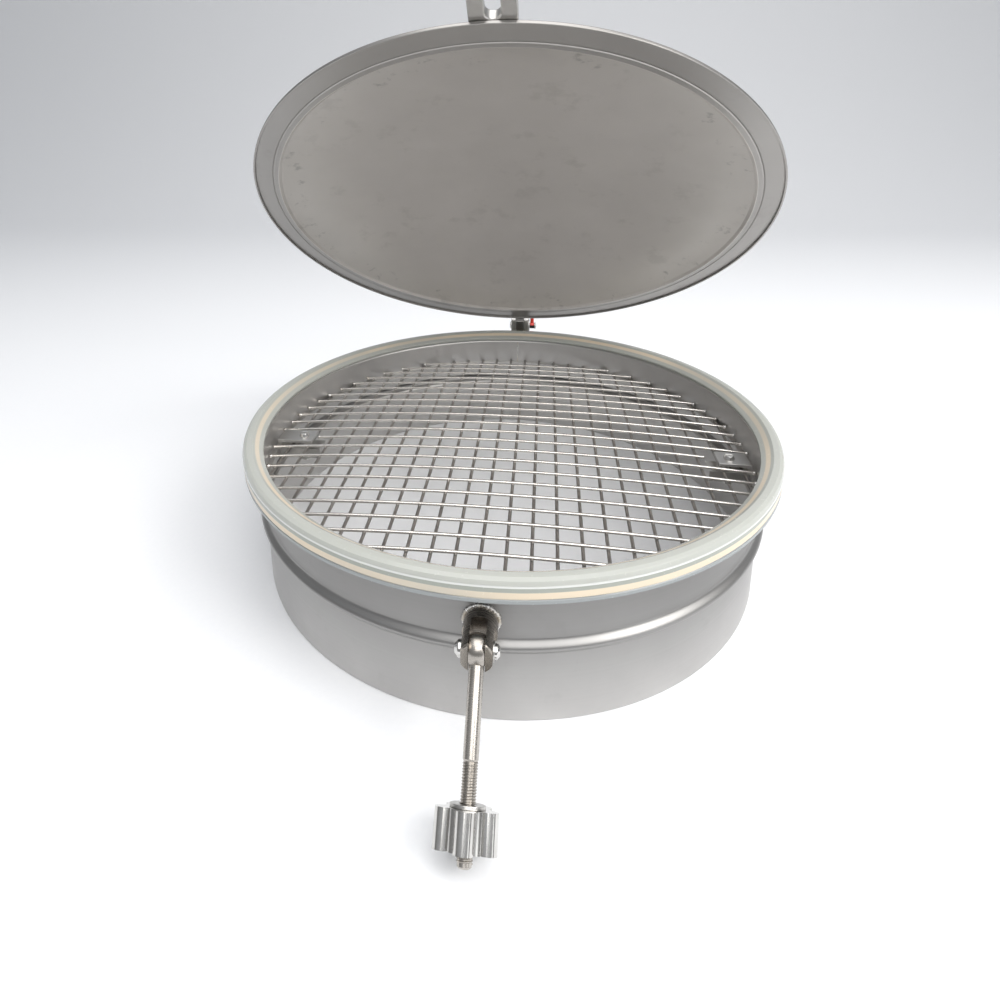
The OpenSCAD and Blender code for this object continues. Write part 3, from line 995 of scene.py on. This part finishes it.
@dataclass
class Hinge:
    """The rear hinge: welded foot and bracket, pin, and the clamp lever with its red grip."""

    palette: Palette
    pin: Point = (0.0045, 0.295, 0.132)
    pin_r: float = 0.005
    head_r: float = 0.0056
    head_t: float = 0.0025
    ear_out: float = 0.0125
    hub_from: float = 0.0141
    hub_len: float = 0.007
    hub_play: float = 0.0001
    hub_r: float = 0.0042
    stud_r: float = 0.003
    stud_out: float = 0.0024
    stem_r: float = 0.0016
    grip_r: float = 0.0027
    grip_tip: float = 0.0215
    cap_r: float = 0.005
    cap_from: float = 0.0016
    ribs: int = 9
    rib_from: float = 0.0032
    rib_pitch: float = 0.0011
    rib_deep: float = 0.0002

    def build(self) -> None:
        """Makes every part of the hinge that stays with the neck, and the lever."""
        self.along = Matrix.Translation(self.pin) @ Matrix.Rotation(math.pi / 2, 4, "Y")
        dress("hinge_foot", "hinge_base", self.palette.machined, "machined_steel", 0.0008, "neck")
        dress("hinge_bracket", "hinge_ears", self.palette.machined, "machined_steel", 0.0007, "neck")
        self._pin()
        self._lever()

    def _pin(self) -> None:
        """Revolves the pin, its washer and the ring that keeps the lever on."""
        left, hub = -self.ear_out, self.hub_from
        end = hub + self.hub_len + self.stud_out
        outline = [(0.0, left - self.head_t, 0.0), (self.head_r - 0.001, left - self.head_t, 0.0009),
                   (self.head_r, left - 0.0012, 0.0006), (self.head_r, left, 0.0003),
                   (self.pin_r, left, 0.0),
                   (self.pin_r, hub, 0.0003), (self.stud_r, hub, 0.0), (self.stud_r, end, 0.0007),
                   (0.0, end, 0.0)]
        Form("hinge_bolt").revolve(rounded(outline, False), 8, 8, False, self.along).done(
            self.palette.polished, "neck", "polished_steel", "hinge_pin")
        self._ring("hinge_spacer", "hinge_washer", self.pin_r, 0.009, self.ear_out, 0.0015)
        self._ring("lever_clip", "lever_ring", self.stud_r, self.stud_r + 0.002,
                   hub + self.hub_len + 0.0002, 0.0014)

    def _ring(self, name: str, node: str, inner: float, outer: float, start: float,
              thick: float) -> None:
        """Revolves one washer on the pin."""
        outline = [(inner, start, 0.0), (outer, start, 0.0003), (outer, start + thick, 0.0003),
                   (inner, start + thick, 0.0)]
        Form(name).revolve(rounded(outline, True, 3), 8, 7, place=self.along).done(
            self.palette.machined, "neck", "machined_steel", node)

    def _lever(self) -> None:
        """Makes the dark hub with its stem, and the red grip and cap."""
        inner, outer = self.hub_from, self.hub_from + self.hub_len
        r, bore = self.hub_r, self.stud_r + PLAY
        hub = [(bore, inner + self.hub_play, 0.0), (r, inner + self.hub_play, 0.0004), (r, outer, 0.0005),
               (bore, outer, 0.0)]
        form = Form("lever_boss").revolve(rounded(hub, True, 4), 8, 8, place=self.along)
        stem, g, tip = self.stem_r, self.grip_r, self.grip_tip
        middle = Vector(self.pin) + Vector(((inner + outer) / 2, 0.0, 0.0))
        upright = Matrix.Translation(middle)
        form.revolve([(0.0, 0.0035), (stem, 0.0035), (stem, tip - 0.0016), (0.0, tip - 0.0016)],
                     8, 5, False, upright)
        form.done(self.palette.dark, "clamp_lever", "dark_metal", "lever_hub")
        ribs = [(g - self.rib_deep * (i % 2), r + self.rib_from + self.rib_pitch * i, 0.0002)
                for i in range(self.ribs)]
        grip = [(0.0, tip - 0.0015, 0.0), (stem, tip - 0.0015, 0.0), (stem, r + 0.0002, 0.0),
                (g, r + 0.0002, 0.0),
                *ribs, (g, tip - 0.0024, 0.0005), (g - 0.0004, tip - 0.0002, 0.0014), (0.0, tip, 0.0)]
        handle = Form("lever_handle").revolve(rounded(grip, False, 4), 8, 6, False, upright)
        handle.sweep(self._cap(middle), middle, Vector((1.0, 0.0, 0.0)),
                     math.pi - 2 * math.asin(self.cap_from / self.cap_r), 18)
        handle.done(self.palette.red, "clamp_lever", "red_plastic", "lever_grip")

    def _cap(self, middle: Vector) -> list[Vector]:
        """The section of the cap that straddles the hub, where its sweep starts."""
        start = math.asin(self.cap_from / self.cap_r)
        inner = self.hub_r + self.hub_play
        section = rounded([(inner, -self.grip_r, 0.0), (inner, self.grip_r, 0.0),
                           (self.cap_r, self.grip_r, 0.0003), (self.cap_r, -self.grip_r, 0.0003)],
                          True, 3)
        return [middle + Vector((x, r * math.cos(start), r * math.sin(start))) for r, x in section]


@dataclass
class Lid:
    """The dished lid with its flat sealing flange, hinge arm and bolt lug."""

    palette: Palette
    hinge: Point = (0.0, 0.295, 0.132)
    opened: float = math.radians(40)
    outer_r: float = 0.271
    sheet: float = 0.002
    seal_z: float = 0.1348
    lip_drop: float = 0.002
    flange_w: float = 0.025
    step: float = 0.0025
    band_w: float = 0.010
    band_h: float = 0.004
    crease_r: float = 0.2505
    crease_mid: float = 0.0009
    crease_deep: float = 0.0005
    crease_w: float = 0.0022
    dome_h: float = 0.038
    dome_steps: int = 20

    def build(self) -> None:
        """Makes the dished sheet, and dresses the arm and the lug."""
        self._sheet()
        dress("lid_arm", "lid_hinge_arm", self.palette.machined, "machined_steel", 0.0008, "lid")
        dress("lid_lug", "lid_bolt_lug", self.palette.machined, "machined_steel", 0.0012, "lid", 4)

    def _open(self) -> Matrix:
        """The turn from closed to where the lid stands."""
        pin = Matrix.Translation(self.hinge)
        return pin @ Matrix.Rotation(-self.opened, 4, "X") @ pin.inverted()

    def _dome(self, base: float) -> list[Point]:
        """The line above a height from the flange to the middle: step, straight band and dish."""
        start = self.outer_r - self.flange_w
        dish_r, dish_z = start - self.step - self.band_w, self.step + self.band_h
        steps = [i / self.dome_steps for i in range(self.dome_steps + 1)]
        dish = [(dish_r * (1 - t), base + dish_z + (self.dome_h - dish_z) * (1 - (1 - t) ** 2), 0.0)
                for t in steps]
        return [(start, base, 0.0009), (start - self.step, base + self.step, 0.0009), *dish]

    def _sheet(self) -> None:
        """Revolves the lid closed, then opens it about its hinge."""
        r, low, top = self.outer_r, self.seal_z, self.seal_z + self.sheet
        mark = self.crease_r
        outline = [*reversed(self._dome(low)), (mark, low, 0.0004),
                   (mark + self.crease_mid, low + self.crease_deep, 0.0004),
                   (mark + self.crease_w, low, 0.0006), (r - self.sheet, low, 0.0004),
                   (r - self.sheet, low - self.lip_drop, 0.0004), (r, low - self.lip_drop, 0.0005),
                   (r, top, 0.0016), *self._dome(top)]
        Form("lid_sheet").revolve(rounded(outline, False), closed=False, place=self._open()).done(
            self.palette.lid, "lid", "lid_sheet", "lid_shell")


def dress(node: str, name: str, finish: bpy.types.Material, slot: str, width: float, body: str,
          segments: int = 3) -> None:
    """Makes a finished piece from a frame node's shape, with its edges broken.

    Args:
        node: The frame node that it stands for.
        name: The piece's name.
        finish: Its material.
        slot: Its slot in the record; it is handed on but not used.
        width: How far the edges are rounded, in metres.
        body: The body that it moves with.
        segments: How many steps the rounding has.
    """
    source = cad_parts[node]
    Form(name).from_frame(source).soften(width, segments).done(finish, body, slot, node)


# ------------------------------------------------------------------ floor, light and camera
@dataclass
class Studio:
    """A pale sweep, soft lights and the camera."""

    lens: float = 23.28
    shift: tuple[float, float] = (0.0498, -0.2057)
    eye: Point = (0.04038, -0.63108, 0.43115)
    aim: tuple[float, float, float] = (math.pi / 2 - 0.2641, 0.1508, -0.0208)
    half_width: float = 9.0
    front: float = -9.0
    back: float = 1.9
    curve: float = 1.6
    height: float = 6.0
    under: float = -0.0004
    room_low: tuple[float, Colour] = (0.45, (0.16, 0.155, 0.15))
    room_high: tuple[float, Colour] = (0.9, (0.75, 0.77, 0.80))
    room_light: float = 0.8

    def build(self) -> None:
        """Sets the stage."""
        self._sweep()
        self._world()
        self._lights()
        self._camera()

    def _sweep(self) -> None:
        """Makes the floor and the wall behind as one curved sheet."""
        bm = bmesh.new()
        steps = 24
        line = [(self.front, self.under)]
        line += [(self.back + self.curve * math.sin(a), self.under + self.curve * (1 - math.cos(a)))
                 for a in (math.pi / 2 * i / steps for i in range(steps + 1))]
        line.append((self.back + self.curve, self.height))
        verts = [bmesh.ops.create_vert(bm, co=(-self.half_width, y, z))["vert"][0] for y, z in line]
        edges = [bm.edges.new(pair) for pair in zip(verts, verts[1:])]
        made = bmesh.ops.extrude_edge_only(bm, edges=edges)["geom"]
        moved = [v for v in made if isinstance(v, bmesh.types.BMVert)]
        bmesh.ops.translate(bm, vec=(2 * self.half_width, 0, 0), verts=moved)
        for face in bm.faces:
            face.smooth = True
        mesh = bpy.data.meshes.new("sweep")
        bm.to_mesh(mesh)
        bm.free()
        surface = Surface("pale_paper")
        fibres = surface.noise(surface.place(), 260.0, 3.0)
        mesh.materials.append(surface.close(
            surface.blend(fibres, (0.83, 0.84, 0.86), (0.87, 0.875, 0.885)),
            0.75, fibres * 0.02, MM, {}))
        floor = bpy.data.objects.new("sweep", mesh)
        bpy.context.scene.collection.objects.link(floor)

    def _world(self) -> None:
        """A dim room that is brighter overhead."""
        world = bpy.data.worlds.new("studio")
        bpy.context.scene.world = world
        room = Surface("studio", world)
        up = room.split(room.add("ShaderNodeTexCoord", output="Generated"))[2]
        shade = room.add("ShaderNodeValToRGB", {"stops": [self.room_low, self.room_high]},
                         {0: up * 0.5 + 0.5})
        glow = room.add("ShaderNodeBackground", None, {"Color": shade, "Strength": self.room_light})
        room.add("ShaderNodeOutputWorld", None, {"Surface": glow})

    def _lights(self) -> None:
        """Hangs the soft boxes."""
        self._softbox("key", (1.7, -0.9, 1.7), (-0.1, 0.0, 0.0), (1.3, 1.3), 40.0, (1.0, 0.985, 0.965))
        self._softbox("front", (0.3, -1.7, 1.9), (0.0, 0.0, 0.1), (1.6, 1.0), 16.0, (1.0, 0.99, 0.98))
        self._softbox("above", (0.0, -0.3, 2.6), (0.0, 0.0, 0.1), (2.2, 2.2), 34.0, (1.0, 0.99, 0.98))
        self._softbox("low", (1.7, -1.3, 0.35), (0.0, 0.0, 0.08), (0.5, 0.5), 1.2, (0.97, 0.99, 1.0))

    @staticmethod
    def _softbox(name: str, place: Point, aim: Point, size: tuple[float, float], power: float,
                 colour: Colour) -> None:
        """Adds one rectangular light.

        Args:
            name: The light's name.
            place: Where it hangs.
            aim: The point that it faces.
            size: Its width and height.
            power: Its power in watts.
            colour: Its colour.
        """
        lamp = bpy.data.lights.new(name, "AREA")
        lamp.shape = "RECTANGLE"
        lamp.size, lamp.size_y = size
        lamp.energy = power
        lamp.color = colour
        holder = bpy.data.objects.new(name, lamp)
        holder.location = place
        holder.rotation_euler = (Vector(aim) - Vector(place)).to_track_quat("-Z", "Y").to_euler()
        bpy.context.scene.collection.objects.link(holder)

    def _camera(self) -> None:
        """Places the camera."""
        camera = bpy.data.cameras.new("camera")
        camera.lens = self.lens
        camera.sensor_width = 36.0
        camera.shift_x, camera.shift_y = self.shift
        holder = bpy.data.objects.new("camera", camera)
        tilt, turn, roll = self.aim
        holder.matrix_world = (Matrix.Translation(self.eye) @ Matrix.Rotation(turn, 4, "Z")
                               @ Matrix.Rotation(tilt, 4, "X") @ Matrix.Rotation(roll, 4, "Z"))
        bpy.context.scene.collection.objects.link(holder)
        bpy.context.scene.camera = holder
        bpy.context.scene.view_settings.view_transform = "Standard"


def corners(box: tuple[Vector, Vector]) -> list[list[float]]:
    """A box as plain lists of numbers."""
    return [list(box[0]), list(box[1])]


def main() -> None:
    """Builds the hatch in order."""
    logging.basicConfig(level=logging.INFO, format="%(message)s")
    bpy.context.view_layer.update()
    Studio().build()
    palette = Palette.mixed()
    for part in (Neck(palette), Gasket(palette), Grid(palette), Closure(palette),
                 Hinge(palette), Lid(palette)):
        log.info("building %s", type(part).__name__)
        part.build()


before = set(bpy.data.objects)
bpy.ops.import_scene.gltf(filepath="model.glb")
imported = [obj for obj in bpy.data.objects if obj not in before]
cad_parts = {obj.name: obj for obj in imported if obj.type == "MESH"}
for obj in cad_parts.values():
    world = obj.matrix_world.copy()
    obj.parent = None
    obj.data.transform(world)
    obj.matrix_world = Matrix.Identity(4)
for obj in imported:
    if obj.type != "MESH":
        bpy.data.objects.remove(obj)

if __name__ == "__main__":
    main()
